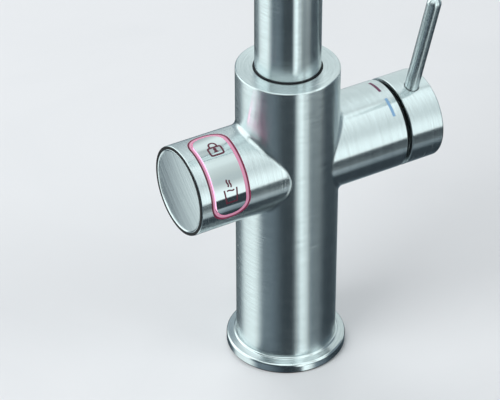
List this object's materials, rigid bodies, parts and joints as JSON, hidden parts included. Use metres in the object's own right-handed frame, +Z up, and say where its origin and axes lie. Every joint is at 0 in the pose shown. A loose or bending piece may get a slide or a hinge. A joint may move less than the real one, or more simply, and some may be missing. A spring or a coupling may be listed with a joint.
{
  "type": "boiling water tap",
  "caption": "Worktop tap with a hollow column, a swivelling arched spout, a tilting and turning mixer lever on one barrel and a lit rocker switch for boiling water on the other.",
  "frame": {"origin": "on the column's axis at the worktop's surface, where the base gasket rests", "axes": "+Z up the column's axis, -Y the way the spout reaches, +X towards the mixer and its lever, -X towards the rocker switch"},
  "size_m": [0.1361, 0.2608, 0.4631],
  "materials": {
    "satin_steel": "satin, fine brushing",
    "polished_steel": "polished",
    "brass": "turned",
    "copper": "drawn tube",
    "zinc_steel": "zinc plated",
    "black_plastic": "fine grain",
    "grey_plastic": "moulded",
    "black_rubber": "matt",
    "ceramic": "lapped",
    "light_plastic": "lit, diffusing",
    "board_green": "lacquered board"
  },
  "bodies": {
    "tap_body": {"column_body": "satin_steel", "base_flange": "satin_steel", "base_gasket": "black_rubber", "inner_waterway": "brass", "cold_riser": "copper", "hot_riser": "copper", "boiling_riser": "copper", "spout_glide_ring": "black_plastic", "cartridge_housing": "grey_plastic", "cartridge_seal": "black_rubber", "fixed_disc": "ceramic", "cartridge_nut": "brass", "mixer_end_ring": "black_plastic", "light_ring": "light_plastic", "switch_carrier": "black_plastic", "rocker_pin": "zinc_steel", "circuit_board": "board_green", "lock_switch": "grey_plastic", "boil_switch": "grey_plastic", "rocker_spring": "zinc_steel", "switch_end_cap": "satin_steel", "switch_end_ring": "black_rubber", "control_lead": "black_rubber", "mounting_shank": "brass", "rubber_washer": "black_rubber", "clamp_plate": "zinc_steel", "clamp_nut": "brass", "jack_screw_left": "zinc_steel", "jack_screw_right": "zinc_steel", "inlet_block": "brass", "cold_inlet": "brass", "boiling_inlet": "brass", "hot_inlet": "brass", "cable_gland": "black_plastic"},
    "spout": {"spout_tube": "satin_steel", "spout_stub": "brass", "stub_seal_lower": "black_rubber", "stub_seal_upper": "black_rubber", "spout_clip": "zinc_steel", "boiling_tube": "satin_steel", "tube_spacer_lower": "grey_plastic", "tube_spacer_upper": "grey_plastic", "aerator_housing": "satin_steel", "aerator_seal": "black_rubber", "aerator_insert": "grey_plastic", "boiling_nozzle": "polished_steel"},
    "mixer_core": {"cartridge_rotor": "grey_plastic", "stem_pivot_pin": "zinc_steel"},
    "sliding_disc": {"moving_disc": "ceramic"},
    "lever": {"cartridge_stem": "brass", "lever_cap": "satin_steel", "lever_rod": "satin_steel", "lever_set_screw": "zinc_steel", "lever_screw_plug": "black_plastic"},
    "rocker": {"rocker_panel": "polished_steel"}
  },
  "joints": [
    {"name": "spout_swivel", "type": "hinge", "parent": "tap_body", "child": "spout", "pos_m": [0, 0, 0.162], "axis": [0, 0, 1], "range_deg": [-75, 75]},
    {"name": "lever_temperature", "type": "hinge", "parent": "tap_body", "child": "mixer_core", "pos_m": [0.0397, 0, 0.1113], "axis": [1, 0, 0], "range_deg": [-45, 45]},
    {"name": "lever_lift", "type": "hinge", "parent": "mixer_core", "child": "lever", "pos_m": [0.0397, 0, 0.1113], "axis": [0, 0.9613, 0.2756], "range_deg": [0, 20]},
    {"name": "disc_slide", "type": "slide", "parent": "mixer_core", "child": "sliding_disc", "axis": [0, -0.2756, 0.9613], "range_m": [0, 0.0023]},
    {"name": "rocker_tilt", "type": "hinge", "parent": "tap_body", "child": "rocker", "pos_m": [-0.0437, -0.01106, 0.12216], "axis": [1, 0, 0], "range_deg": [-1, 1], "stiffness_Nm_per_rad": 2}
  ],
  "couplings": [
    {"joint": "disc_slide", "follows": "lever_lift", "m_per_rad": 0.0065}
  ]
}
